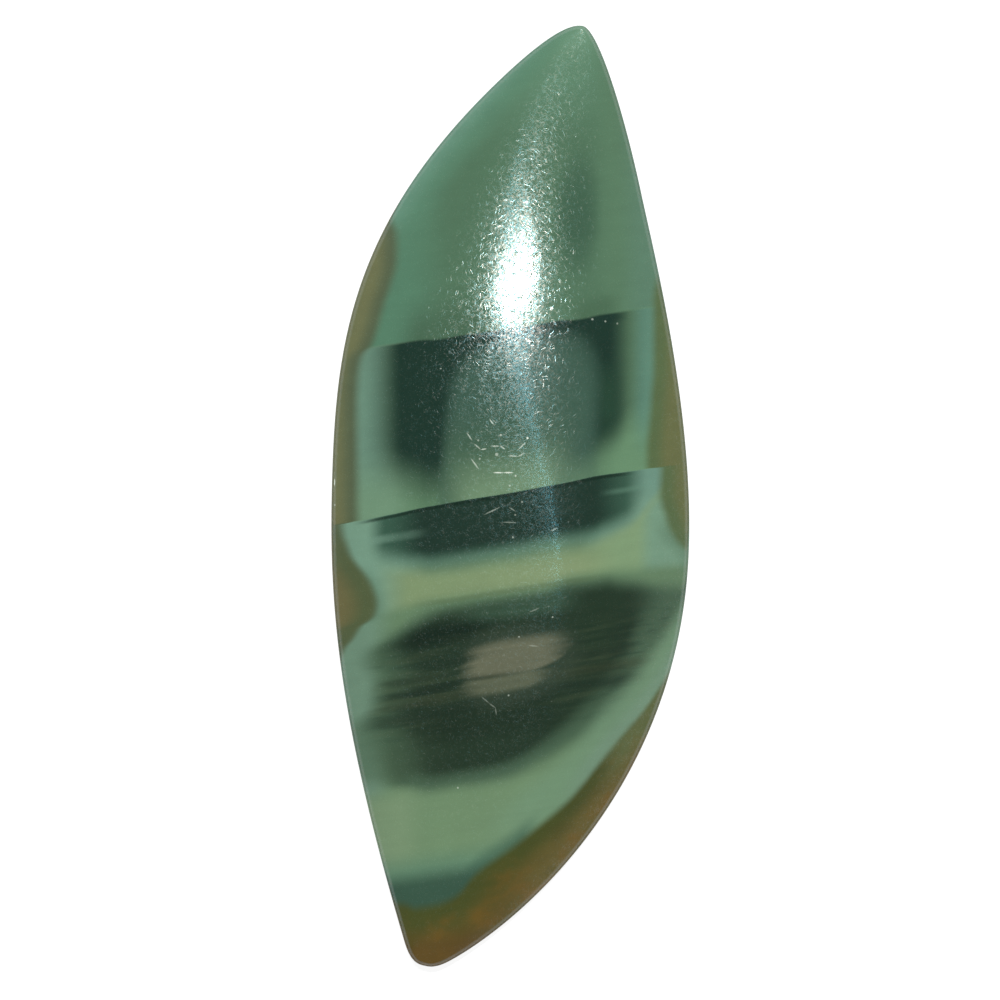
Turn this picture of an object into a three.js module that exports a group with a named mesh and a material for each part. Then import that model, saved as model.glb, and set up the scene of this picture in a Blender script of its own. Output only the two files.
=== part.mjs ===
// A polished imperial jasper cabochon: one freeform leaf of stone with a flat back, a low wall
// that leans in a little, and a smooth dome whose crest wanders across the leaf.
// Millimetres, +Z up. The stone lies on its flat back. The origin is on the back, under the
// middle of the stone's box, and +Y runs lengthwise from the foot to the tip.
import * as THREE from "three";

// Heights above the flat back
const BACK_ROUND = 0.35; // radius of the softened lower edge
const GIRDLE = 1.75; // where the wall's line meets the shoulder's line, on average
const GIRDLE_WAVE = 0.07; // a hand-ground girdle rises and falls by this much
const GIRDLE_WAVES = 1.5; // full waves from the foot to the tip
const SHOULDER_RISE = 0.16; // height of the rounded shoulder above the girdle
const DOME_RISE = 2.5; // from the shoulder to the top of the crest

// The wall and the shoulder, as distances inwards from the outline
const WALL_LEAN = 0.1;
const SHOULDER = 0.14;

// The dome's roundness: 0 is a parabola, and more makes a flatter top with steeper flanks
const ROUND_ACROSS = 0.4;
const ROUND_ALONG = 0.1;

// The crest's pull to one side, as a share of the half width: positive is to the right
const CREST_MEAN = -0.2;
const CREST_SWING = 0.53;
const CREST_RIGHTMOST_Y = -13; // where along the stone it is furthest right
const CREST_HALF_WAVE = 60; // from there to where it would be furthest left, beyond the tip

// The outline, walked anticlockwise from the tip. Each joint has its place, the curve's
// heading there in degrees, and how far its handles reach back and forward.
const OUTLINE = [
  { at: [-0.13, 22.5], heading: 180, reach: [0.75, 0.5] }, // tip
  { at: [-3.52, 19.46], heading: 232.5, reach: [3.3, 9.9] }, // left of the tip
  { at: [-8.42, -0.78], heading: 277.5, reach: [6.6, 5.8] }, // left bulge
  { at: [-1.65, -21.55], heading: 295.5, reach: [11, 1] }, // left of the foot
  { at: [-0.39, -22.5], heading: 0, reach: [0.45, 0.4] }, // foot
  { at: [0.66, -22.02], heading: 38, reach: [0.3, 3.6] }, // right of the foot
  { at: [8.81, -2.25], heading: 94.5, reach: [10.5, 6.8] }, // right bulge
  { at: [3.88, 15.04], heading: 111, reach: [2.7, 4] }, // right of the tip
];
const FOOT_JOINT = 4;
const HALF_LENGTH = OUTLINE[0].at[1];

// How finely the surface is cut into faces
const STATIONS = 84; // steps from the tip to the foot
const CROWDING = 0.9; // 0 spaces the stations evenly, 1 crowds them at the rounded ends
const ACROSS = 22; // steps from the left shoulder to the right one
const ROUNDING_STEPS = 2; // steps in each rounded edge
const CURVE_STEPS = 400; // points on each curve of the outline, before stations are chosen

const halfWaves = (distance, halfWave) => (Math.PI * distance) / halfWave;
const evenlyRound = (step, steps) => Math.cos(halfWaves(step, steps));

// The place a distance away from a joint, in a heading
function reachFrom([x, y], heading, distance) {
  const angle = THREE.MathUtils.degToRad(heading);
  return new THREE.Vector2(x + distance * Math.cos(angle), y + distance * Math.sin(angle));
}

// The cubic curve from one joint of the outline to the next
function curveBetween(from, to) {
  return new THREE.CubicBezierCurve(
    new THREE.Vector2(...from.at),
    reachFrom(from.at, from.heading, from.reach[1]),
    reachFrom(to.at, to.heading, -to.reach[0]),
    new THREE.Vector2(...to.at),
  );
}

// Close points down one side of the outline, each with its inward direction
function traceSide(firstJoint, lastJoint) {
  const points = [];
  for (let joint = firstJoint; joint < lastJoint; joint++) {
    const curve = curveBetween(OUTLINE[joint], OUTLINE[(joint + 1) % OUTLINE.length]);
    for (let step = joint > firstJoint ? 1 : 0; step <= CURVE_STEPS; step++) {
      const heading = curve.getTangent(step / CURVE_STEPS);
      points.push({
        at: curve.getPoint(step / CURVE_STEPS),
        inward: new THREE.Vector2(-heading.y, heading.x),
      });
    }
  }
  return points;
}

// The point of a side at a given y. The side's points run from the tip to the foot.
function pointAt(points, y) {
  const next = points.findIndex((point, i) => i > 0 && point.at.y <= y);
  const [high, low] = [points[next - 1], points[next]];
  const share = (high.at.y - y) / (high.at.y - low.at.y);
  return {
    at: high.at.clone().lerp(low.at, share),
    inward: high.inward.clone().lerp(low.inward, share).normalize(),
  };
}

// The rim of the stone, anticlockwise: tip, left side, foot, right side. The stations between
// the tip and the foot are closest together at the rounded ends.
function traceRim() {
  const left = traceSide(0, FOOT_JOINT);
  const right = traceSide(FOOT_JOINT, OUTLINE.length).reverse();
  const leftStations = [];
  const rightStations = [];
  for (let i = 1; i < STATIONS; i++) {
    const even = 1 - (2 * i) / STATIONS;
    const y = HALF_LENGTH * THREE.MathUtils.lerp(even, evenlyRound(i, STATIONS), CROWDING);
    leftStations.push(pointAt(left, y));
    rightStations.unshift(pointAt(right, y));
  }
  return [left[0], ...leftStations, left[left.length - 1], ...rightStations];
}

// The points of the stone's side over one rim point, from the flat back up to the dome
function sideProfile({ at, inward }) {
  const place = (inset, z) =>
    new THREE.Vector3(at.x + inward.x * inset, at.y + inward.y * inset, z);
  const wave = Math.sin(halfWaves(GIRDLE_WAVES * at.y, HALF_LENGTH));
  const girdle = GIRDLE + GIRDLE_WAVE * wave;
  const wallTop = girdle - SHOULDER;
  const leanAtTop = (WALL_LEAN * (wallTop - BACK_ROUND)) / (girdle - BACK_ROUND);
  const lowerEdge = new THREE.QuadraticBezierCurve3(
    place(BACK_ROUND, 0),
    place(0, 0),
    place(0, BACK_ROUND),
  );
  const shoulder = new THREE.QuadraticBezierCurve3(
    place(leanAtTop, wallTop),
    place(WALL_LEAN, girdle),
    place(WALL_LEAN + SHOULDER, girdle + SHOULDER_RISE),
  );
  return [...lowerEdge.getPoints(ROUNDING_STEPS), ...shoulder.getPoints(ROUNDING_STEPS)];
}

// The dome's height above the shoulder. Both shares run from -1 to 1: along from the foot to
// the tip, and across from the left shoulder to the right one.
function domeHeight(along, across) {
  const swing = Math.cos(halfWaves(along * HALF_LENGTH - CREST_RIGHTMOST_Y, CREST_HALF_WAVE));
  const crest = CREST_MEAN + CREST_SWING * swing;
  const alongSquared = along ** 2;
  const acrossSquared = (across - crest * (1 - across ** 2) ** 2) ** 2;
  const alongFactor = (1 - alongSquared) * (1 + ROUND_ALONG * alongSquared);
  const acrossFactor = (1 - acrossSquared) * (1 + ROUND_ACROSS * acrossSquared);
  return DOME_RISE * alongFactor * acrossFactor;
}

const positions = [];
const faces = [];

function addVertex({ x, y, z }) {
  positions.push(x, y, z);
  return positions.length / 3 - 1;
}

// A four-sided patch. Where two corners are one vertex, only a triangle is left of it.
function addPatch(a, b, c, d) {
  if (a !== b && b !== c) faces.push([a, b, c]);
  if (a !== d && c !== d) faces.push([a, c, d]);
}

// The left and right vertices of a ring at a station, which are one at the tip and the foot
const pairAt = (ring, station) => [ring[station], ring[(ring.length - station) % ring.length]];

// The stone's side: a ring of vertices for each point of the side profile
const profiles = traceRim().map(sideProfile);
const rings = profiles[0].map((_, level) => profiles.map((profile) => addVertex(profile[level])));
for (let level = 0; level + 1 < rings.length; level++) {
  const [lower, upper] = [rings[level], rings[level + 1]];
  for (let i = 0; i < lower.length; i++) {
    const next = (i + 1) % lower.length;
    addPatch(lower[i], lower[next], upper[next], upper[i]);
  }
}

// The flat back: one patch between neighbouring stations
const backRing = rings[0];
for (let station = 0; station < STATIONS; station++) {
  const [left, right] = pairAt(backRing, station);
  const [nextLeft, nextRight] = pairAt(backRing, station + 1);
  addPatch(right, nextRight, nextLeft, left);
}

// The dome: a row of vertices at each station, closest together at the shoulders
const domeRing = rings[rings.length - 1];
const domeHalfLength = HALF_LENGTH - WALL_LEAN - SHOULDER;

function domeRow(station) {
  const ends = pairAt(domeRing, station);
  if (ends[0] === ends[1]) return new Array(ACROSS + 1).fill(ends[0]);
  const [left, right] = ends.map((end) => new THREE.Vector3().fromArray(positions, end * 3));
  const row = [ends[0]];
  for (let step = 1; step < ACROSS; step++) {
    const across = -evenlyRound(step, ACROSS);
    const place = left.clone().lerp(right, (across + 1) / 2);
    place.z += domeHeight(place.y / domeHalfLength, across);
    row.push(addVertex(place));
  }
  row.push(ends[1]);
  return row;
}

let row = domeRow(0);
for (let station = 1; station <= STATIONS; station++) {
  const nextRow = domeRow(station);
  for (let step = 0; step < ACROSS; step++) {
    addPatch(row[step], nextRow[step], nextRow[step + 1], row[step + 1]);
  }
  row = nextRow;
}

const geometry = new THREE.BufferGeometry();
geometry.setAttribute("position", new THREE.Float32BufferAttribute(positions, 3));
geometry.setIndex(faces.flat());
geometry.computeVertexNormals();

// Green jasper with a glassy polish
const polishedJasper = new THREE.MeshStandardMaterial({
  color: new THREE.Color(0.09, 0.22, 0.14),
  roughness: 0.15,
  metalness: 0,
});
const stone = new THREE.Mesh(geometry, polishedJasper);
stone.name = "stone";

const cabochon = new THREE.Group();
cabochon.add(stone);
export default cabochon;
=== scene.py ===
import math

import bpy
from mathutils import Matrix, Vector


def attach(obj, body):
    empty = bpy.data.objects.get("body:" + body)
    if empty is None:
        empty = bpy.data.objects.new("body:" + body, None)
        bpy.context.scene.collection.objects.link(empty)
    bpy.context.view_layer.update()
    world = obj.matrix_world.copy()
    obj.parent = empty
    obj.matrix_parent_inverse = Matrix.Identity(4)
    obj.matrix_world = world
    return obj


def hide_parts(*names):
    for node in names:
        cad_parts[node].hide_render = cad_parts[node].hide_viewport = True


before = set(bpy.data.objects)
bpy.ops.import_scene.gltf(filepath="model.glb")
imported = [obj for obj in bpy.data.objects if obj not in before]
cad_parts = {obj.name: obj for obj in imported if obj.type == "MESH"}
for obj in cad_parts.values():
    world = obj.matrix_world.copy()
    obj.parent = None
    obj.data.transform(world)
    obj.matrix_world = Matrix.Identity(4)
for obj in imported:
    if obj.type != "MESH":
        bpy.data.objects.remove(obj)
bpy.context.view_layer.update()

# A polished imperial jasper cabochon, lying on its flat back. The stone's own sizes are in
# millimetres, with +Z up and +Y from the foot to the tip, and they are the frame's sizes.
MM = 0.001

# Heights above the flat back
BACK_ROUND = 0.35
GIRDLE = 1.75
GIRDLE_WAVE = 0.07
GIRDLE_WAVES = 1.5
SHOULDER_RISE = 0.16
DOME_RISE = 2.5

# The wall and the shoulder, as distances inwards from the outline
WALL_LEAN = 0.1
SHOULDER = 0.14

# The dome's roundness, and its crest's pull to one side as a share of the half width
ROUND_ACROSS = 0.4
ROUND_ALONG = 0.1
CREST_MEAN = -0.2
CREST_SWING = 0.53
CREST_RIGHTMOST_Y = -13
CREST_HALF_WAVE = 60

# The outline, anticlockwise from the tip: each joint's place, the curve's heading there in
# degrees, and how far its handles reach back and forward
OUTLINE = [
    ((-0.13, 22.5), 180, (0.75, 0.5)),  # tip
    ((-3.52, 19.46), 232.5, (3.3, 9.9)),  # left of the tip
    ((-8.42, -0.78), 277.5, (6.6, 5.8)),  # left bulge
    ((-1.65, -21.55), 295.5, (11, 1)),  # left of the foot
    ((-0.39, -22.5), 0, (0.45, 0.4)),  # foot
    ((0.66, -22.02), 38, (0.3, 3.6)),  # right of the foot
    ((8.81, -2.25), 94.5, (10.5, 6.8)),  # right bulge
    ((3.88, 15.04), 111, (2.7, 4)),  # right of the tip
]
FOOT_JOINT = 4
HALF_LENGTH = OUTLINE[0][0][1]

# How finely the surface is cut into faces
STATIONS = 300
CROWDING = 0.9
ACROSS = 80
ROUNDING_STEPS = 6
CURVE_STEPS = 600
FLAT_MARGIN = 0.3  # width of the flat strip between the rounded edge and the rest of the back

# The pattern has its own directions: x across the stone, and level up it, square to the bands
GRAIN_TURN = math.radians(9)  # from the stone's length to the pattern's upright direction
BAND_SLOPE = 0.158  # rise of the bands per millimetre of x
DIP_ACROSS = 0.4  # below the girdle, the pattern shifts by this much per millimetre of height
DIP_UP = 0.6
WANDER_ACROSS = 0.12  # how far the pattern's edges wander from their smooth lines
WANDER_UP = 0.05
UNEVENNESS = 0.06  # how much lighter or darker the fibres and the mottling make the colours

# Fine scratches in the polish. Each lies in a cell of its own, in one of several layers.
SCRATCH_LENGTH = 0.46  # of a cell
SCRATCH_WIDTH = 0.055
SCRATCH_LAYERS = 6
SCRATCH_SHARE = 0.62  # of the cells that hold a scratch
SCRATCH_FILL = 0.28  # half size of a scratch, as a share of its cell
SCRATCH_EDGE = 0.08
SCRATCH_TILT = 0.115  # steepest tilt of the surface across a scratch
SCRATCH_REACH = 0.5  # share kept of each tilt towards the tip or the foot
SCRATCH_SWERVE = 0.6  # spread of the tilt along a scratch, as a share of the tilt across it
BENDS = 1.2  # per millimetre, of the lines that the scratches follow
BEND_REACH = 0.3  # how far the bends shift the scratches
# How far the scratches lean to the right, at distances from the middle towards the tip
SCRATCH_LEAN = [(-25, 0.04), (0, 0.04), (5, 0.033), (10.5, 0.002), (13, -0.008), (25, -0.008)]
HAZE = 0.03  # tilt of the finest unevenness
HAZE_SIZE = 0.1

# The finish. A face is dome, wall or back by how far it faces up, from -1 to 1.
DOME_ROUGHNESS = 0.105
WALL_ROUGHNESS = 0.9
BACK_ROUGHNESS = 0.45
SCRATCH_ROUGHNESS = 0.08  # added where there is a scratch
WALL_BELOW = 0.4
BACK_BELOW = -0.6
REFRACTION = 1.54

# The tints of what the polish reflects, which change from speck to speck
COOL_GLINT = (0.37, 0.62, 0.67, 1)
WARM_GLINT = (0.73, 0.7, 0.63, 1)

# Painted highlights: glints of single scratches, and one on the left edge, drawn as pale lines in
# the pattern's directions: the two ends, and how pale each is
PAINTED_SCRATCH_GLINTS = [
    ((-0.84, 1.14), (-0.33, 1.14), 0.95),
    ((-0.36, 1.14), (0.14, 1.14), 1),
    ((-8.29, 0.88), (-8.3, 0.5), 1),
    ((-1.72, 2.5), (-1.4, 2.22), 0.45),
    ((-1.42, 2.21), (-1.12, 2.26), 0.6),
    ((-0.95, 2.38), (-0.5, 2.38), 0.5),
    ((-0.5, 2.4), (-0.26, 2.23), 0.6),
    ((-0.12, 1.93), (0.35, 1.89), 0.45),
    ((0.33, 1.88), (0.65, 2.07), 0.5),
    ((0.3, 2.18), (0.75, 2.59), 0.5),
    ((-1.88, 1.82), (-1.48, 1.28), 0.5),
    ((-2.07, 3.03), (-1.8, 2.63), 0.45),
    ((-1, 3.65), (-0.79, 3.38), 0.7),
    ((-1.28, -0.85), (-0.47, -0.46), 0.3),
    ((-0.42, -1.18), (0.29, -1.2), 0.22),
    ((-0.09, -0.47), (0.22, -0.67), 0.25),
    ((1.85, -1.6), (2.2, -1.45), 0.35),
    ((0.86, -5.4), (1.35, -5.2), 0.2),
    ((0.83, -6.95), (1.3, -7), 0.2),
    ((-1.38, -9.36), (-1, -9.68), 0.16),
    ((-1.02, -9.67), (-0.7, -9.9), 0.18),
    ((-0.72, -9.88), (-0.67, -10.24), 0.16),
]

# Painted highlights: glints of pits and specks in the polish, drawn as pale dots in the pattern's
# directions: the middle, the half width and how pale each is
PAINTED_SPECK_GLINTS = [
    ((3.83, 8.33), 0.07, 0.4),
    ((4.44, 8.24), 0.06, 0.4),
    ((5, 8.14), 0.06, 0.3),
    ((-3.28, 6.02), 0.05, 0.4),
    ((0.23, 0.99), 0.06, 0.7),
    ((-0.05, 0.53), 0.06, 0.5),
    ((0.78, 2.76), 0.07, 1),
    ((-0.47, 2.9), 0.07, 0.5),
    ((-1.45, 1.79), 0.06, 0.45),
    ((-1.52, 2.65), 0.06, 0.4),
    ((-0.66, 1.99), 0.1, 0.45),
    ((0.53, -0.23), 0.06, 0.4),
    ((0.21, -0.84), 0.06, 0.3),
    ((0.1, -1.89), 0.06, 0.4),
    ((-8.29, -0.38), 0.05, 0.5),
    ((0.39, -6.55), 0.05, 0.45),
    ((1.96, -5.63), 0.05, 0.5),
    ((-0.1, -9.3), 0.06, 0.35),
    ((-2.48, -13.65), 0.06, 0.4),
]
# Painted glints: the scratches' width and overhang, their near-white colour, and how far up a face
# looks to show them
SCRATCH_GLINT_HALF_WIDTH = 0.042
SCRATCH_GLINT_OVERHANG = 1.15  # they are drawn this much longer, and fade out at their ends
PAINTED_GLINT_COLOUR = (226, 236, 220)
PAINTED_GLINTS_ABOVE = 0.2  # how far up a face has to look to show them

# The camera looks straight down on the stone, upright in the pattern's directions. Its
# distances and those of the lamps and the floor are in metres.
CAMERA_HEIGHT = 0.5
VIEW_SIZE = 0.047075  # width of the view at the girdle
VIEW_CENTRE = Vector((-0.4745, -0.219, GIRDLE)) * MM
FLOOR_GAP = 0.00002  # the floor lies this far below the back, so that no two faces coincide
FLOOR_HALF_SIZE = 2.0
LAMP_DISTANCE = 1.5
SKY_AT_HORIZON = 0.35
SKY_OVERHEAD = 0.1
SHEEN = 0.0085  # light that the polish reflects nearly everywhere, where white is 1
OWN_SHARE = 0.985  # lightness of the stone itself, for each part of the light that it shows


def curve_points(first, second):
    """Close points from one joint of the outline to the next, each with its inward direction."""
    (start, start_heading, (_, reach_on)) = first
    (end, end_heading, (reach_back, _)) = second
    leave = Vector((math.cos(math.radians(start_heading)), math.sin(math.radians(start_heading))))
    arrive = Vector((math.cos(math.radians(end_heading)), math.sin(math.radians(end_heading))))
    a = Vector(start)
    b = a + leave * reach_on
    d = Vector(end)
    c = d - arrive * reach_back
    points = []
    for step in range(CURVE_STEPS + 1):
        t = step / CURVE_STEPS
        s = 1 - t
        place = a * s**3 + b * 3 * s * s * t + c * 3 * s * t * t + d * t**3
        heading = (b - a) * s * s + (c - b) * 2 * s * t + (d - c) * t * t
        heading.normalize()
        points.append((place, Vector((-heading.y, heading.x))))
    return points


def trace_side(first_joint, last_joint):
    points = []
    for joint in range(first_joint, last_joint):
        following = OUTLINE[(joint + 1) % len(OUTLINE)]
        stretch = curve_points(OUTLINE[joint], following)
        points += stretch if joint == first_joint else stretch[1:]
    return points


def points_at(points, heights):
    """The points of a side at falling heights. The side's points run from the tip to the foot."""
    found = []
    index = 1
    for y in heights:
        while points[index][0].y > y:
            index += 1
        (high, high_inward), (low, low_inward) = points[index - 1], points[index]
        share = (high.y - y) / (high.y - low.y)
        inward = high_inward.lerp(low_inward, share).normalized()
        found.append((high.lerp(low, share), inward))
    return found


def trace_rim():
    """The rim of the stone, anticlockwise: tip, left side, foot, right side."""
    left = trace_side(0, FOOT_JOINT)
    right = trace_side(FOOT_JOINT, len(OUTLINE))[::-1]
    heights = []
    for i in range(1, STATIONS):
        even = 1 - 2 * i / STATIONS
        crowded = math.cos(math.pi * i / STATIONS)
        heights.append(HALF_LENGTH * (even + (crowded - even) * CROWDING))
    left_stations = points_at(left, heights)
    right_stations = points_at(right, heights)
    return [left[0], *left_stations, left[-1], *right_stations[::-1]]


def rounded(start, corner, end):
    """Points from start to end on a curve that rounds the corner off."""
    points = []
    for step in range(ROUNDING_STEPS + 1):
        t = step / ROUNDING_STEPS
        points.append(start * (1 - t) ** 2 + corner * 2 * t * (1 - t) + end * t**2)
    return points


def side_profile(at, inward):
    """The points of the stone's side over one rim point, from the flat back up to the dome."""

    def place(inset, z):
        return Vector((at.x + inward.x * inset, at.y + inward.y * inset, z))

    girdle = GIRDLE + GIRDLE_WAVE * math.sin(math.pi * GIRDLE_WAVES * at.y / HALF_LENGTH)
    wall_top = girdle - SHOULDER
    lean_at_top = WALL_LEAN * (wall_top - BACK_ROUND) / (girdle - BACK_ROUND)
    lower_edge = rounded(place(BACK_ROUND, 0), place(0, 0), place(0, BACK_ROUND))
    shoulder = rounded(
        place(lean_at_top, wall_top),
        place(WALL_LEAN, girdle),
        place(WALL_LEAN + SHOULDER, girdle + SHOULDER_RISE),
    )
    return [*lower_edge, *shoulder]


def dome_height(along, across):
    """The dome's height above the shoulder, for shares from -1 to 1 of the length and width."""
    swing = math.cos(math.pi * (along * HALF_LENGTH - CREST_RIGHTMOST_Y) / CREST_HALF_WAVE)
    crest = CREST_MEAN + CREST_SWING * swing
    along_squared = along**2
    across_squared = (across - crest * (1 - across**2) ** 2) ** 2
    along_factor = (1 - along_squared) * (1 + ROUND_ALONG * along_squared)
    across_factor = (1 - across_squared) * (1 + ROUND_ACROSS * across_squared)
    return DOME_RISE * along_factor * across_factor


class Surface:
    """Vertices and faces, collected for one mesh."""

    def __init__(self):
        self.vertices = []
        self.faces = []

    def add_vertex(self, place):
        self.vertices.append(place)
        return len(self.vertices) - 1

    def add_patch(self, *corners):
        """A four-sided face, or a triangle where two of its corners are one vertex."""
        distinct = [c for i, c in enumerate(corners) if c != corners[i - 1]]
        if len(distinct) > 2:
            self.faces.append(distinct)


def add_side(surface, profiles):
    """A ring of vertices for each point of the side profile, with faces between the rings."""
    rings = []
    for level in range(len(profiles[0])):
        rings.append([surface.add_vertex(profile[level]) for profile in profiles])
    for lower, upper in zip(rings, rings[1:]):
        for i in range(len(lower)):
            following = (i + 1) % len(lower)
            surface.add_patch(lower[i], lower[following], upper[following], upper[i])
    return rings


def add_back(surface, ring, rim):
    """The flat back: a narrow border inside the rounded edge, then a patch at each station."""
    border = []
    for index, (_, inward) in zip(ring, rim):
        edge = surface.vertices[index]
        width = min(FLAT_MARGIN, abs(edge.x - surface.vertices[ring[0]].x))
        border.append(surface.add_vertex(edge + inward.to_3d() * width))
    count = len(ring)
    for i in range(count):
        following = (i + 1) % count
        surface.add_patch(border[i], border[following], ring[following], ring[i])
    for station in range(STATIONS):
        left, right = border[station], border[-station % count]
        next_left, next_right = border[station + 1], border[-(station + 1) % count]
        surface.add_patch(right, next_right, next_left, left)


def add_dome(surface, ring):
    """The dome: a row of vertices at each station, closest together at the shoulders."""
    half_length = HALF_LENGTH - WALL_LEAN - SHOULDER
    count = len(ring)
    rows = []
    for station in range(STATIONS + 1):
        left, right = ring[station % count], ring[-station % count]
        if left == right:
            rows.append([left] * (ACROSS + 1))
            continue
        row = [left]
        for step in range(1, ACROSS):
            across = -math.cos(math.pi * step / ACROSS)
            place = surface.vertices[left].lerp(surface.vertices[right], (across + 1) / 2)
            place.z += dome_height(place.y / half_length, across)
            row.append(surface.add_vertex(place))
        rows.append([*row, right])
    for row, next_row in zip(rows, rows[1:]):
        for step in range(ACROSS):
            surface.add_patch(row[step], next_row[step], next_row[step + 1], row[step + 1])


def make_stone():
    surface = Surface()
    rim = trace_rim()
    profiles = [side_profile(at, inward) for at, inward in rim]
    rings = add_side(surface, profiles)
    add_back(surface, rings[0], rim)
    add_dome(surface, rings[-1])
    mesh = bpy.data.meshes.new("polished_stone")
    mesh.from_pydata([place * MM for place in surface.vertices], [], surface.faces)
    mesh.shade_smooth()
    stone = bpy.data.objects.new("polished_stone", mesh)
    bpy.context.scene.collection.objects.link(stone)
    return stone


def linear(colour):
    """A colour as the lit stone shows it, in screen values from 0 to 255, as its own lightness:
    without the sheen that the lights lay over it."""
    values = []
    for channel in colour:
        share = channel / 255
        shown = share / 12.92 if share <= 0.04045 else ((share + 0.055) / 1.055) ** 2.4
        values.append((shown - SHEEN) * OWN_SHARE)
    return (*values, 1)


class Field:
    """A number that varies through the stone: the output of a node, with arithmetic."""

    def __init__(self, graph, socket):
        self.graph = graph
        self.socket = socket

    def __add__(self, other):
        return self.graph.calculate("ADD", self, other)

    def __sub__(self, other):
        return self.graph.calculate("SUBTRACT", self, other)

    def __mul__(self, other):
        return self.graph.calculate("MULTIPLY", self, other)

    def __truediv__(self, other):
        return self.graph.calculate("DIVIDE", self, other)

    def __pow__(self, other):
        return self.graph.calculate("POWER", self, other)

    def __abs__(self):
        return self.graph.calculate("ABSOLUTE", self)

    def above(self, edge, soft):
        """0 well below the edge and 1 well above it. It changes over soft on either side."""
        return self.graph.ramp(self, edge, soft, 0, 1)

    def below(self, edge, soft):
        return self.graph.ramp(self, edge, soft, 1, 0)

    def between(self, low, high, soft):
        return self.above(low, soft) * self.below(high, soft)

    def along(self, points):
        """The height of a smooth curve through the points, at this field's value."""
        return self.graph.curve(self, points)


class Graph:
    """Adds nodes to a material and links them."""

    def __init__(self, material):
        self.tree = material.node_tree

    def add(self, kind, **settings):
        node = self.tree.nodes.new(kind)
        for name, value in settings.items():
            setattr(node, name, value)
        return node

    def feed(self, slot, value):
        if isinstance(value, Field):
            self.tree.links.new(value.socket, slot)
        elif isinstance(value, bpy.types.NodeSocket):
            self.tree.links.new(value, slot)
        else:
            slot.default_value = value

    def calculate(self, operation, *values):
        node = self.add("ShaderNodeMath", operation=operation)
        for slot, value in zip(node.inputs, values):
            self.feed(slot, value)
        return Field(self, node.outputs["Value"])

    def ramp(self, field, edge, soft, start, end):
        if isinstance(edge, Field):
            return self.ramp(field - edge, 0, soft, start, end)
        node = self.add("ShaderNodeMapRange", interpolation_type="SMOOTHSTEP")
        self.feed(node.inputs["Value"], field)
        node.inputs["From Min"].default_value = edge - soft
        node.inputs["From Max"].default_value = edge + soft
        node.inputs["To Min"].default_value = start
        node.inputs["To Max"].default_value = end
        return Field(self, node.outputs["Result"])

    def curve(self, field, points):
        points = sorted(points)
        places = [place for place, _ in points]
        heights = [height for _, height in points]
        low, width = places[0], places[-1] - places[0]
        floor, rise = min(heights), max(heights) - min(heights)
        node = self.add("ShaderNodeFloatCurve")
        curve = node.mapping.curves[0]
        while len(curve.points) < len(points):
            curve.points.new(0.5, 0.5)
        for point, (place, height) in zip(curve.points, points):
            point.location = ((place - low) / width, (height - floor) / rise)
            point.handle_type = "AUTO_CLAMPED"
        node.mapping.update()
        self.feed(node.inputs["Value"], (field - low) / width)
        return Field(self, node.outputs["Value"]) * rise + floor

    def vector(self, x, y, z):
        node = self.add("ShaderNodeCombineXYZ")
        for slot, value in zip(node.inputs, (x, y, z)):
            self.feed(slot, value)
        return node.outputs["Vector"]

    def noise(self, x, y, z, detail=2.0):
        """Smooth noise from about -1 to 1."""
        node = self.add("ShaderNodeTexNoise")
        node.inputs["Scale"].default_value = 1
        node.inputs["Detail"].default_value = detail
        self.feed(node.inputs["Vector"], self.vector(x, y, z))
        return (Field(self, node.outputs["Fac"]) - 0.5) * 2


class Paint:
    """Colours laid over one another, each through a mask."""

    def __init__(self, graph, ground):
        self.graph = graph
        node = graph.add("ShaderNodeRGB")
        node.outputs[0].default_value = linear(ground)
        self.colour = node.outputs[0]

    def over(self, colour, mask):
        node = self.graph.add("ShaderNodeMix", data_type="RGBA")
        self.graph.feed(node.inputs["Factor"], mask)
        self.graph.feed(node.inputs["A"], self.colour)
        node.inputs["B"].default_value = linear(colour)
        self.colour = node.outputs["Result"]


def paint_upper_zone(paint, x, level):
    """The plain green of the tip, paler at its top and edges, with a dark cloud at the right."""
    outer_left = level.along(
        [(19.5, -0.2), (18, -1.7), (17, -2.6), (16, -3.5), (15, -4.3), (13, -5.5)]
    )
    paint.over((99, 136, 110), level.above(17.8, 2) * 0.8)
    paint.over((116, 153, 125), level.above(20.8, 1.4) * 0.9)
    paint.over((90, 131, 106), x.below(-3.8, 1.3) * 0.9)
    paint.over((93, 135, 110), x.below(outer_left + 1, 0.9) * level.above(13.5, 1) * 0.8)
    paint.over((104, 146, 124), x.below(outer_left, 0.6) * level.above(13.5, 1) * 0.8)
    paint.over((93, 126, 99), x.above(4.2, 0.7) * 0.9)
    paint.over((96, 131, 109), x.above(5.6, 0.7) * 0.8)
    paint.over((75, 103, 81), level.below(9.3, 1.2) * x.between(-4.9, -1, 0.8) * 0.85)
    paint.over((77, 106, 82), level.below(8.7, 0.6) * x.between(3, 4.9, 0.5) * 0.8)
    cloud = ((x - 3.1) / 1.25) ** 2 + ((level - 12.8) / 3.4) ** 2
    paint.over((62, 91, 73), cloud.below(0.5, 0.6) * 0.75)


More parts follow.
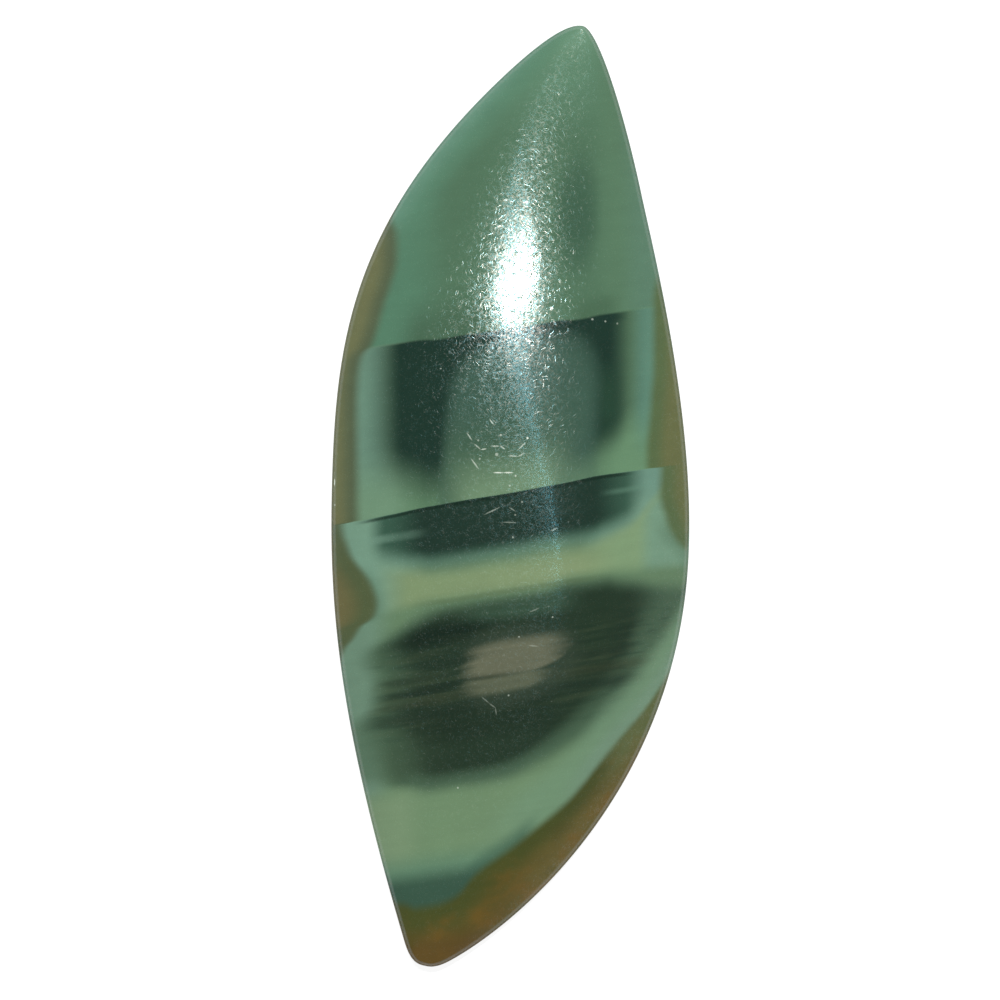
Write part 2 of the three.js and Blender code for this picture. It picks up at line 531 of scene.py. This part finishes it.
def paint_first_step(paint, x, level, below_fault):
    """Under the first fault: two dark blocks on either side of a green orb."""
    inside = below_fault.above(0, 0.09)
    paint.over((98, 131, 101), inside)
    paint.over((114, 147, 119), inside * x.below(-5, 0.9))
    paint.over((108, 142, 122), inside * x.below(-5.8, 0.7) * level.above(2, 1.5))
    paint.over((107, 143, 110), inside * x.above(4.6, 0.8))
    paint.over((97, 136, 116), inside * x.above(5.8, 0.4) * level.above(2, 1.5))
    left_foot = x.along([(-6.6, 2.4), (-5.6, 2), (-5, 1.65), (-4.4, 1.35), (-3.8, 1), (-2, 0.9)])
    right_foot = x.along(
        [(2, 1), (3.2, 1.15), (3.8, 1.4), (4.4, 1.7), (5, 2.1), (5.6, 2.6), (6.4, 3)]
    )
    left_block = x.above(-6.05, 1) * x.below(-2, 0.5) * level.above(left_foot, 1.5)
    right_block = x.above(2, 0.5) * x.below(5.55, 1) * level.above(right_foot, 1.1)
    middle = x.between(-2.4, 2.4, 0.6) * level.above(2, 1.5)
    paint.over((40, 60, 51), inside * (left_block + right_block + middle))
    across_orb = x - 0.45 - (level - 2.6) * 0.06
    orb = (abs(across_orb) / 3.5) ** 3.6 + (abs(level - 2.6) / 4.7) ** 4
    inner = inside * orb.below(1, 0.55)
    paint.over((52, 80, 62), inside * x.between(4.1, 5, 0.5) * level.between(2.4, 5.2, 1) * 0.6)
    paint.over((67, 94, 80), inner)
    paint.over((73, 100, 80), inner * level.below(3.4, 1.6) * x.below(2.4, 1.5))
    paint.over((112, 140, 110), inside * level.below(1.6, 1.2) * x.between(-2.6, 2.4, 1))
    paint.over((92, 122, 97), inside * level.below(1, 0.8) * x.above(2.4, 0.7) * x.below(4, 0.7))
    along_fault = below_fault.between(0.05, 0.4, 0.12) * x.between(-5.2, 5.2, 0.5)
    paint.over((40, 60, 52), along_fault * 0.6)


def paint_second_step(paint, x, level, below_fault):
    """Under the second fault: a dark lens with fine streaks at its ends, over a pale band."""
    inside = below_fault.above(0, 0.03)
    paint.over((119, 154, 132), inside)
    paint.over((111, 147, 129), inside * level.above(-1, 0.7) * x.above(5.4, 0.8))
    foot = x.along(
        [
            (-6.8, -1.2),
            (-6.2, -1.65),
            (-5.6, -1.95),
            (-5, -2.15),
            (-4.4, -2.3),
            (-3.2, -2.5),
            (0, -2.5),
            (1.6, -2.4),
            (3.2, -2.43),
            (4.4, -2.2),
            (5, -2.03),
            (5.6, -1.8),
            (6.4, -1.1),
        ]
    )
    paint.over((98, 128, 102), inside * level.below(foot, 0.5) * x.between(-4.6, 3.8, 0.8))
    pale = inside * level.below(foot - 0.5, 0.5)
    paint.over((128, 149, 110), pale * x.above(-5.6, 1))
    paint.over((129, 157, 119), pale * x.above(4, 1.2) * 0.9)
    paint.over((120, 154, 129), pale * x.above(6.3, 0.5))
    pale_foot = pale * x.above(-1, 2) * level.below(-3.4, 0.3) * x.below(4, 1.5)
    paint.over((133, 152, 113), pale_foot * 0.7)
    lens = inside * level.above(foot, 0.68)
    paint.over((64, 94, 78), lens * x.above(-6.35, 0.5) * x.below(5.9, 0.65))
    core = lens * level.above(foot + 0.2, 0.5) * x.above(-5, 1.1) * x.below(4.8, 1)
    paint.over((42, 60, 51), core)
    left_run = x.between(-6.6, -5.7, 0.6) + x.between(-5.8, -4.2, 0.6) * 0.45
    left_streak = level.between(-1.2, -0.86, 0.14) * left_run
    right_streak = level.between(-0.62, -0.4, 0.12) * x.between(4.6, 6.2, 0.6)
    paint.over((124, 160, 139), inside * left_streak * 0.5)
    paint.over((104, 141, 120), inside * right_streak * 0.4)
    along_fault = below_fault.between(0.02, 0.16, 0.06) * x.between(-6.9, 5.4, 0.6)
    paint.over((34, 48, 40), along_fault * 0.75)


def paint_streak(paint, inside, distance, half_width, colour, strength):
    """A streak where the distance from its middle line is within the half width."""
    paint.over(colour, inside * abs(distance).below(half_width, half_width * 0.8) * strength)


def dark_top_line(x):
    """The level of the dark zone's upper edge."""
    return x.along(
        [
            (-6.8, -6.1),
            (-6.2, -5.85),
            (-5.6, -5.55),
            (-5, -5.25),
            (-4.4, -5),
            (-3.6, -4.78),
            (-2.8, -4.7),
            (1.5, -4.72),
            (2.8, -4.52),
            (4.2, -4.52),
            (5, -4.7),
            (5.6, -4.85),
            (6.2, -5),
            (6.8, -5.2),
            (8.2, -5.5),
        ]
    )


def dark_foot_line(x):
    """The level of the dark zone's lower edge."""
    return x.along(
        [
            (-6.4, -13),
            (-5, -12.9),
            (-3.6, -13.15),
            (-1.5, -13.15),
            (0, -13.05),
            (1.3, -12.65),
            (2.4, -12.2),
            (3.5, -11.65),
            (4.2, -11.25),
            (5.2, -10.35),
            (5.7, -9.55),
            (6.1, -8.85),
            (6.8, -8),
            (7.6, -7.5),
        ]
    )


def dark_left_line(level):
    """The x of the dark zone's left edge."""
    return level.along(
        [
            (-13, -4.9),
            (-12.2, -5.6),
            (-11, -5.9),
            (-9.5, -6.35),
            (-8.8, -5.9),
            (-8, -5.85),
            (-7.2, -6.1),
            (-6.5, -6.4),
            (-5.8, -6),
            (-5, -5),
        ]
    )


def paint_deep_streaks(paint, x, level, dim, dark, fibre):
    """Streaks along the bands, and fibres between them."""
    paint_streak(paint, dark * x.below(-1.2, 1.2), level + 5.95, 0.45, (35, 47, 39), 0.9)
    streak = level - x.along([(-6.5, -9), (-4.3, -8.98), (2.3, -8.66), (5.2, -8.7), (7.5, -8.8)])
    paint_streak(paint, dim * x.below(-3, 1), streak - 1, 0.3, (59, 72, 55), 0.6)
    paint_streak(paint, dim * x.below(-2.4, 1), streak - 0.45, 0.22, (42, 54, 44), 0.75)
    paint_streak(paint, dark * x.above(3, 1), streak - 0.65, 0.25, (46, 58, 47), 0.6)
    paint_streak(paint, dim, streak, 0.22, (64, 72, 54), 0.5)
    fibrous = dim * level.between(-10.6, -6.3, 0.9)
    paint.over((76, 88, 66), fibrous * fibre.above(0.2, 0.35) * 0.35)
    paint.over((38, 50, 42), fibrous * fibre.below(-0.25, 0.35) * 0.4)
    paint_streak(paint, dim, streak + 0.65, 0.3, (43, 56, 46), 0.55)


def paint_pale_lenses(paint, x, level, inside, fibre):
    """A long pale lens with ragged ends, a short one under it, and a dim halo around both."""
    ragged = x + fibre * 0.8
    lens_left = ragged.above(-2, 0.6)
    long_top = x.along([(-2.8, -7.2), (-1.5, -6.85), (0, -6.7), (3, -6.75)])
    long_foot = x.along([(-2.6, -8.15), (-1, -8.3), (0.6, -8.3), (1.8, -8.1), (3, -7.4)])
    long_lens = lens_left * ragged.below(2.25, 0.8)
    long_lens = long_lens * level.below(long_top, 0.28) * level.above(long_foot, 0.12)
    short_foot = x.along([(-2.4, -8.95), (-1, -9.08), (0.4, -9.05), (2, -8.65)])
    short_lens = lens_left * ragged.below(1.6, 0.8)
    short_lens = short_lens * level.below(-8.3, 0.12) * level.above(short_foot, 0.2)
    halo = ((x + 0.2) / 3.6) ** 2 + ((level + 7.9) / 1.9) ** 2
    paint.over((60, 72, 59), inside * halo.below(0.9, 0.4) * x.above(-2, 0.8) * 0.7)
    paint.over((106, 109, 89), inside * long_lens * (fibre * 0.25 + 0.93))
    paint.over((98, 104, 84), inside * short_lens * (fibre * 0.25 + 0.88))
    gap = level - x.along([(-2.6, -8.25), (0, -8.28), (2.4, -8.15)])
    paint_streak(paint, inside * lens_left * x.below(-0.2, 1.2), gap, 0.1, (52, 62, 49), 0.6)


def paint_deep_zone(paint, x, level, inside, fibre):
    """The wide dark zone, with streaks along the bands and two pale lenses, and green below."""
    paint.over((103, 131, 100), inside)
    paint.over((110, 140, 118), inside * x.below(-6, 0.8))
    top = dark_top_line(x)
    foot = dark_foot_line(x)
    left = dark_left_line(level)
    spread = x.along([(-6.4, 0.8), (-3, 0.65), (0, 0.7), (2, 1), (4, 1.6), (6, 2), (7.6, 2)])
    depth = (level - foot) / spread
    paint.over((86, 113, 90), inside * x.below(-6, 0.8) * level.between(-12.4, -9.4, 0.5) * 0.8)
    dim = level.below(top, 0.5) * depth.above(-0.3, 0.75) * x.above(left - 0.3, 0.8)
    dim = inside * dim
    dark = level.below(top - 0.2, 0.5) * depth.above(0.85, 0.6) * x.above(left + 1, 1.1)
    dark = inside * dark * x.below(6.6, 1.2)
    paint.over((76, 100, 79), dim)
    paint.over((46, 61, 48), dark)
    lower_left = dim * level.between(-12.7, -10.7, 0.7) * x.below(-4, 1.8)
    paint.over((66, 84, 65), lower_left * 0.5)
    upper_middle = dark * level.above(-5.65, 0.3) * x.between(-2, 2.8, 0.9)
    paint.over((64, 88, 70), upper_middle * 0.75)
    paint_deep_streaks(paint, x, level, dim, dark, fibre)
    lower_middle = dark * level.between(-11, -9.2, 0.5) * x.between(-4, 2, 1)
    paint.over((41, 54, 43), lower_middle * 0.7)
    paint_pale_lenses(paint, x, level, inside, fibre)
    paint_streak(paint, x.between(-4, 4, 1), level + 4.4, 0.12, (86, 104, 74), 0.4)
    below_dark = inside * level.below(-11.5, 1) * depth.below(-0.3, 0.8)
    paint.over((114, 142, 108), below_dark)
    paint.over((123, 148, 115), below_dark * x.below(-4.6, 0.8) * 0.9)


def paint_foot_zone(paint, x, level, patches):
    """The foot: a teal band that darkens downwards, and brown matrix with a brighter rim."""
    edge = x.along(
        [
            (-6, -18.1),
            (-5, -18.4),
            (-4.4, -18.65),
            (-2.8, -18.45),
            (-1.5, -17.35),
            (0, -16.5),
            (1.5, -15.55),
            (2.6, -14.8),
            (3.4, -14.05),
            (4.2, -13.15),
            (5, -12.4),
            (5.6, -11.85),
            (6.2, -11.25),
            (6.8, -10.5),
            (8.3, -8.3),
        ]
    )
    paint.over((117, 149, 119), level.below(edge + 2.2, 0.8) * x.above(-0.5, 1.5) * 0.8)
    paint.over((118, 147, 123), level.below(edge + 1, 0.5) * x.above(3, 1) * 0.8)
    paint.over((100, 135, 109), level.below(-16.4, 0.7) * x.below(0, 1.5))
    paint.over((72, 103, 84), level.below(edge + 0.6, 0.5) * x.between(-2.8, 1, 0.6) * 0.75)
    paint.over((64, 91, 75), level.below(-17.15, 0.5) * x.below(-1.2, 1))
    paint.over((76, 82, 46), level.below(edge, 0.32))
    paint.over((91, 85, 47), level.below(edge - 1.25, 0.8))
    paint.over((97, 105, 67), level.below(edge + 0.1, 0.35) * x.above(4.7, 0.8))
    paint.over((104, 94, 52), level.below(edge - 1.3, 0.8) * x.above(0.4, 1.2))
    paint.over((100, 80, 46), level.below(-20.1, 0.7) * x.below(-0.5, 1.5) * 0.9)
    brown = level.below(edge - 0.6, 0.6)
    paint.over((118, 90, 44), brown * patches.above(0.22, 0.25) * 0.6)
    paint.over((80, 78, 42), brown * patches.below(-0.25, 0.25) * 0.5)


def left_rim_line(level, second_step):
    """The x of the left rim's inner edge. The second fault shifts it outwards."""
    upper = level.along(
        [
            (16, -5.9),
            (14, -5.6),
            (13, -5.35),
            (12, -5.38),
            (11, -5.62),
            (10, -5.95),
            (9, -6.25),
            (8.2, -6.55),
            (7.5, -7.1),
            (6, -7.25),
            (3, -7.22),
            (0, -7.2),
        ]
    )
    lower = level.along(
        [
            (0.2, -7.95),
            (-0.5, -7.9),
            (-1, -7.75),
            (-1.5, -7.6),
            (-2, -7.3),
            (-2.5, -6.95),
            (-3, -6.65),
            (-3.5, -6.45),
            (-4, -6.35),
            (-4.5, -6.45),
            (-5, -7.15),
            (-5.5, -7.5),
            (-6, -7.95),
            (-8, -8.8),
        ]
    )
    return upper + (lower - upper) * second_step


def right_rim_line(level, second_step):
    """The x of the right rim's inner edge. The second fault shifts it outwards."""
    upper = level.along(
        [
            (12, 7.4),
            (10, 7.2),
            (9, 6.85),
            (8, 6.7),
            (5, 6.7),
            (4, 6.62),
            (2.5, 6.52),
            (1, 6.4),
            (0, 6.4),
        ]
    )
    lower = level.along(
        [
            (0.3, 7.1),
            (-1, 7.02),
            (-1.5, 7.1),
            (-2, 7.25),
            (-2.5, 7.4),
            (-3, 7.65),
            (-3.5, 8),
            (-4, 8.4),
            (-6, 9),
        ]
    )
    return upper + (lower - upper) * second_step


def paint_rims(paint, x, level, second_step):
    """Yellowish brown matrix along both sides, browner outwards."""
    left_edge = left_rim_line(level, second_step)
    right_edge = right_rim_line(level, second_step)
    beside_left = x.below(left_edge + 0.35, 0.45) * level.between(-5, -2.4, 0.6)
    paint.over((99, 130, 107), beside_left * 0.8)
    beside_right = x.above(right_edge - 0.5, 0.4) * level.between(-4.6, -2.4, 0.6)
    paint.over((103, 134, 109), beside_right * 0.8)
    left_rim = x.below(left_edge, 0.32)
    right_rim = x.above(right_edge, 0.28)
    paint.over((90, 102, 77), left_rim)
    paint.over((86, 97, 67), left_rim * level.below(-0.5, 1.5))
    paint.over((112, 116, 81), x.below(left_edge - 0.62, 0.42) * level.above(-1, 1.5))
    paint.over((109, 105, 70), x.below(left_edge - 1, 0.6) * level.below(0.5, 1.5))
    paint.over((91, 109, 73), right_rim)
    paint.over((106, 111, 72), x.above(right_edge + 0.7, 0.4))


def first_fault_line(x):
    """The level of the upper fault across the stone."""
    return x.along(
        [
            (-8, 8.08),
            (-5.5, 8.04),
            (-4.5, 8.05),
            (-3.5, 7.96),
            (-2.5, 7.93),
            (2.5, 7.88),
            (3.2, 7.83),
            (4.5, 7.88),
            (5.6, 7.88),
            (8, 7.8),
        ]
    )


def second_fault_line(x):
    """The level of the lower fault, which also shifts the rims."""
    return x.along(
        [
            (-8, 0),
            (-7.2, -0.02),
            (-6.5, 0.01),
            (-5.5, 0.06),
            (-4.5, 0.12),
            (-1.5, 0.18),
            (0.5, 0.21),
            (2.5, 0.26),
            (3.5, 0.31),
            (4.5, 0.34),
            (6, 0.3),
            (8, 0.28),
        ]
    )


def paint_pattern(graph, across, up, height, upwards):
    """The colour all through the stone, zone by zone from the tip to the foot."""
    flat_level = up - across * BAND_SLOPE
    sideways = graph.noise(across * 0.25, flat_level * 0.18, height * 0.3)
    upright = graph.noise(across * 0.35, flat_level * 0.25, height * 0.3 + 7)
    x = across + sideways * WANDER_ACROSS
    level = flat_level + upright * WANDER_UP
    first_fault = first_fault_line(x)
    second_fault = second_fault_line(x)
    deep_top = x.along(
        [
            (-7.5, -4.65),
            (-5, -4.4),
            (-3, -4.25),
            (1.5, -4.33),
            (3, -4.15),
            (5.7, -4.28),
            (8.3, -4.45),
        ]
    )
    below_second = second_fault - level
    paint = Paint(graph, (85, 117, 92))
    paint_upper_zone(paint, x, level)
    paint_first_step(paint, x, level, first_fault - level)
    paint_second_step(paint, x, level, below_second)
    fine_fibre = graph.noise(across * 0.3, level * 3.6, height + 3)
    paint_deep_zone(paint, x, level, level.below(deep_top, 0.35), fine_fibre)
    patches = graph.noise(across * 0.5, level * 0.6, height + 5, detail=4)
    paint_foot_zone(paint, x, level, patches)
    paint_rims(paint, x, level, below_second.above(0, 0.04))
    # Painted highlights: pale glints of scratches and specks, on the dome only
    paint_glints_of_scratches_and_specks(paint, across, up, upwards)
    fibre = graph.noise(across * 0.12, level * 2.6, height)
    mottle = graph.noise(across * 0.9, level * 0.9, height, detail=3)
    shade = graph.add("ShaderNodeHueSaturation")
    graph.feed(shade.inputs["Color"], paint.colour)
    graph.feed(shade.inputs["Value"], fibre * UNEVENNESS + mottle * UNEVENNESS + 1)
    return shade.outputs["Color"]


def oval(graph, across, up, middle, turn, half_sizes):
    """1 inside a small oval that stands in the pattern's directions, fading out at its edge."""
    squares = []
    for angle, half_size in zip((turn, turn + math.pi / 2), half_sizes):
        across_share = math.cos(angle) / half_size
        up_share = math.sin(angle) / half_size
        offset = -middle[0] * across_share - middle[1] * up_share
        part = graph.calculate("MULTIPLY_ADD", up, up_share, offset)
        reach = graph.calculate("MULTIPLY_ADD", across, across_share, part)
        squares.append(reach * reach)
    return (squares[0] + squares[1]).below(0.5, 0.5)


def paint_glints_of_scratches_and_specks(paint, across, up, upwards):
    """Painted glints of single scratches and specks in the dome's polish, which the back hasn't.
    """
    graph = paint.graph
    glint_mask = 0
    for start, end, strength in PAINTED_SCRATCH_GLINTS:
        run = Vector(end) - Vector(start)
        middle = (Vector(start) + Vector(end)) / 2
        half_sizes = (run.length / 2 * SCRATCH_GLINT_OVERHANG, SCRATCH_GLINT_HALF_WIDTH)
        turn = math.atan2(run.y, run.x)
        glint_mask = oval(graph, across, up, middle, turn, half_sizes) * strength + glint_mask
    for middle, half_width, strength in PAINTED_SPECK_GLINTS:
        glint_mask = oval(graph, across, up, middle, 0, (half_width, half_width)) * strength + glint_mask
    glint_mask = graph.calculate("MINIMUM", glint_mask, 1)
    # The glints are painted near white into the base colour
    paint.over(PAINTED_GLINT_COLOUR, glint_mask * upwards.above(PAINTED_GLINTS_ABOVE, 0.1))


def scratch_layer(graph, place, turn):
    """Short scratches that run about one way. Each tilts the surface sideways by an amount of its
    own, mostly a small one. The result is where they are, and the tilt rightwards and forwards."""
    shift = graph.add("ShaderNodeMapping", vector_type="TEXTURE")
    graph.feed(shift.inputs["Vector"], place)
    shift.inputs["Rotation"].default_value = (0, 0, turn)
    shift.inputs["Scale"].default_value = (SCRATCH_LENGTH, SCRATCH_WIDTH, 1)
    cells = graph.add("ShaderNodeTexVoronoi", voronoi_dimensions="2D")
    graph.feed(cells.inputs["Vector"], shift.outputs["Vector"])
    cells.inputs["Scale"].default_value = 1
    draw = graph.add("ShaderNodeSeparateColor")
    graph.feed(draw.inputs["Color"], cells.outputs["Color"])
    depth, swerve, chance = (Field(graph, output) for output in draw.outputs)
    dash = Field(graph, cells.outputs["Distance"]).below(SCRATCH_FILL, SCRATCH_EDGE)
    dash = dash * chance.above(1 - SCRATCH_SHARE, 0.01)
    steep = (depth * 2 - 1) ** 3 * dash * SCRATCH_TILT
    swerve = (swerve - 0.5) * SCRATCH_SWERVE
    rightwards = steep * (swerve * math.cos(turn) - math.sin(turn))
    forwards = steep * (swerve * math.sin(turn) + math.cos(turn)) * SCRATCH_REACH
    return dash, rightwards, forwards


def scratch(graph, right, forward):
    """Fine scratches in all directions: how scratched the surface is, its direction there, and
    a number from 0 to 1 that differs from speck to speck. The scratches lean to the right, but a
    little to the left near the tip."""
    bend = graph.add("ShaderNodeTexNoise")
    bend.inputs["Scale"].default_value = 1
    bend.inputs["Detail"].default_value = 0
    graph.feed(bend.inputs["Vector"], graph.vector(right * BENDS, forward * BENDS, 0))
    drift = graph.add("ShaderNodeVectorMath", operation="MULTIPLY_ADD")
    graph.feed(drift.inputs[0], bend.outputs["Color"])
    drift.inputs[1].default_value = (BEND_REACH, BEND_REACH, 0)
    graph.feed(drift.inputs[2], graph.vector(right, forward, 0))
    place = drift.outputs["Vector"]
    dashes, rightwards, forwards = 0, 0, 0
    for layer in range(SCRATCH_LAYERS):
        dash, sideways, lengthways = scratch_layer(graph, place, math.pi * layer / SCRATCH_LAYERS)
        dashes = dash + dashes
        rightwards = sideways + rightwards
        forwards = lengthways + forwards
    rightwards = rightwards + dashes * forward.along(SCRATCH_LEAN)
    haze = graph.add("ShaderNodeTexNoise")
    haze.inputs["Scale"].default_value = 1
    haze.inputs["Detail"].default_value = 0
    graph.feed(haze.inputs["Vector"], graph.vector(right / HAZE_SIZE, forward / HAZE_SIZE, 0))
    unevenness = graph.add("ShaderNodeSeparateColor")
    graph.feed(unevenness.inputs["Color"], haze.outputs["Color"])
    rightwards = rightwards + (Field(graph, unevenness.outputs[0]) - 0.5) * HAZE
    forwards = forwards + (Field(graph, unevenness.outputs[1]) - 0.5) * HAZE
    tilted = graph.add("ShaderNodeVectorMath", operation="ADD")
    graph.feed(tilted.inputs[0], graph.add("ShaderNodeNewGeometry").outputs["Normal"])
    graph.feed(tilted.inputs[1], graph.vector(rightwards, forwards, 0))
    unit = graph.add("ShaderNodeVectorMath", operation="NORMALIZE")
    graph.feed(unit.inputs[0], tilted.outputs["Vector"])
    return dashes, unit.outputs["Vector"], Field(graph, unevenness.outputs[2])


def make_jasper():
    """The stone's material: the pattern under a glassy polish, with a matt wall and satin back."""
    material = bpy.data.materials.new("polished_jasper")
    material.use_nodes = True
    graph = Graph(material)
    place = graph.add("ShaderNodeTexCoord").outputs["Object"]
    split = graph.add("ShaderNodeSeparateXYZ")
    graph.feed(split.inputs["Vector"], place)
    right, forward, height = (Field(graph, output) / MM for output in split.outputs)
    under = graph.calculate("MINIMUM", height - GIRDLE, 0)
    across = right * math.cos(GRAIN_TURN) + forward * math.sin(GRAIN_TURN) + under * DIP_ACROSS
    up = forward * math.cos(GRAIN_TURN) - right * math.sin(GRAIN_TURN) + under * DIP_UP
    facing = graph.add("ShaderNodeSeparateXYZ")
    graph.feed(facing.inputs["Vector"], graph.add("ShaderNodeNewGeometry").outputs["Normal"])
    upwards = Field(graph, facing.outputs["Z"])
    shader = material.node_tree.nodes["Principled BSDF"]
    graph.feed(shader.inputs["Base Color"], paint_pattern(graph, across, up, height, upwards))
    scratches, direction, shimmer = scratch(graph, right, forward)
    roughness = scratches * SCRATCH_ROUGHNESS + DOME_ROUGHNESS
    roughness = roughness + upwards.below(WALL_BELOW, 0.15) * (WALL_ROUGHNESS - DOME_ROUGHNESS)
    roughness = roughness + upwards.below(BACK_BELOW, 0.2) * (BACK_ROUGHNESS - WALL_ROUGHNESS)
    graph.feed(shader.inputs["Normal"], direction)
    graph.feed(shader.inputs["Roughness"], roughness)
    shader.inputs["IOR"].default_value = REFRACTION
    tint = graph.add("ShaderNodeMix", data_type="RGBA")
    graph.feed(tint.inputs["Factor"], shimmer.above(0.5, 0.15))
    tint.inputs["A"].default_value = COOL_GLINT
    tint.inputs["B"].default_value = WARM_GLINT
    graph.feed(shader.inputs["Specular Tint"], tint.outputs["Result"])
    return material


def make_floor():
    mesh = bpy.data.meshes.new("floor")
    half = FLOOR_HALF_SIZE
    corners = [(-half, -half, 0), (half, -half, 0), (half, half, 0), (-half, half, 0)]
    mesh.from_pydata(corners, [], [(0, 1, 2, 3)])
    floor = bpy.data.objects.new("floor", mesh)
    floor.location.z = -FLOOR_GAP
    bpy.context.scene.collection.objects.link(floor)
    material = bpy.data.materials.new("pale_floor")
    material.use_nodes = True
    shader = material.node_tree.nodes["Principled BSDF"]
    shader.inputs["Base Color"].default_value = (0.25, 0.25, 0.25, 1)
    shader.inputs["Emission Color"].default_value = (1, 1, 1, 1)
    shader.inputs["Emission Strength"].default_value = 0.9
    shader.inputs["Roughness"].default_value = 0.9
    shader.inputs["Specular IOR Level"].default_value = 0
    mesh.materials.append(material)
    return floor


def add_panel(name, colour, size, tilt, side, roll, radiance):
    """A lamp that faces the stone, with an oval face. The size is its angles across and up, seen
    from the stone. It stands a tilt up the pattern and a turn to its side from straight overhead,
    and it is rolled about its own axis."""
    data = bpy.data.lights.new(name, "AREA")
    data.shape = "ELLIPSE"
    data.size = 2 * LAMP_DISTANCE * math.tan(math.radians(size[0] / 2))
    data.size_y = 2 * LAMP_DISTANCE * math.tan(math.radians(size[1] / 2))
    data.color = colour
    data.energy = radiance * math.pi * data.size * data.size_y
    lamp = bpy.data.objects.new(name, data)
    lean = Matrix.Rotation(math.radians(-tilt), 4, "X")
    aside = Matrix.Rotation(math.radians(side), 4, "Y")
    turned = Matrix.Rotation(math.radians(roll), 4, "Z")
    outwards = Matrix.Translation((0, 0, LAMP_DISTANCE))
    lamp.matrix_world = Matrix.Rotation(GRAIN_TURN, 4, "Z") @ aside @ lean @ outwards @ turned
    bpy.context.scene.collection.objects.link(lamp)


def make_lights():
    """A key lamp up the pattern, and a faint bluish strip in two lengths along the crest."""
    add_panel(
        "key",
        colour=(1, 0.97, 0.965),
        size=(13.2, 2.0),
        tilt=13,
        side=2.3,
        roll=23,
        radiance=346,
    )
    bluish = (0.45, 0.84, 1)
    add_panel(
        "upper_strip",
        colour=bluish,
        size=(1.2, 21),
        tilt=13.5,
        side=0.7,
        roll=0,
        radiance=17,
    )
    add_panel(
        "lower_strip",
        colour=bluish,
        size=(1.5, 17),
        tilt=1.6,
        side=0.6,
        roll=24,
        radiance=13,
    )


def make_world():
    """A dim sky overhead that brightens towards the horizon, as in a light tent."""
    world = bpy.data.worlds.new("studio")
    bpy.context.scene.world = world
    world.use_nodes = True
    nodes = world.node_tree.nodes
    links = world.node_tree.links
    direction = nodes.new("ShaderNodeTexCoord").outputs["Generated"]
    split = nodes.new("ShaderNodeSeparateXYZ")
    links.new(direction, split.inputs["Vector"])
    brightness = nodes.new("ShaderNodeMapRange")
    brightness.interpolation_type = "SMOOTHSTEP"
    links.new(split.outputs["Z"], brightness.inputs["Value"])
    brightness.inputs["From Min"].default_value = 0
    brightness.inputs["From Max"].default_value = 0.95
    brightness.inputs["To Min"].default_value = SKY_AT_HORIZON
    brightness.inputs["To Max"].default_value = SKY_OVERHEAD
    nodes["Background"].inputs["Color"].default_value = (1, 1, 1, 1)
    links.new(brightness.outputs["Result"], nodes["Background"].inputs["Strength"])


def make_camera():
    data = bpy.data.cameras.new("camera")
    camera = bpy.data.objects.new("camera", data)
    camera.location = VIEW_CENTRE + Vector((0, 0, CAMERA_HEIGHT))
    camera.rotation_euler = (0, 0, GRAIN_TURN)
    data.angle = 2 * math.atan(VIEW_SIZE / 2 / CAMERA_HEIGHT)
    data.clip_start = 0.01
    data.clip_end = 20
    bpy.context.scene.collection.objects.link(camera)
    bpy.context.scene.camera = camera


stone = make_stone()
stone.data.materials.append(make_jasper())
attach(stone, "root")
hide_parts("stone")
make_floor()
make_lights()
make_world()
make_camera()
bpy.context.scene.view_settings.view_transform = "Standard"
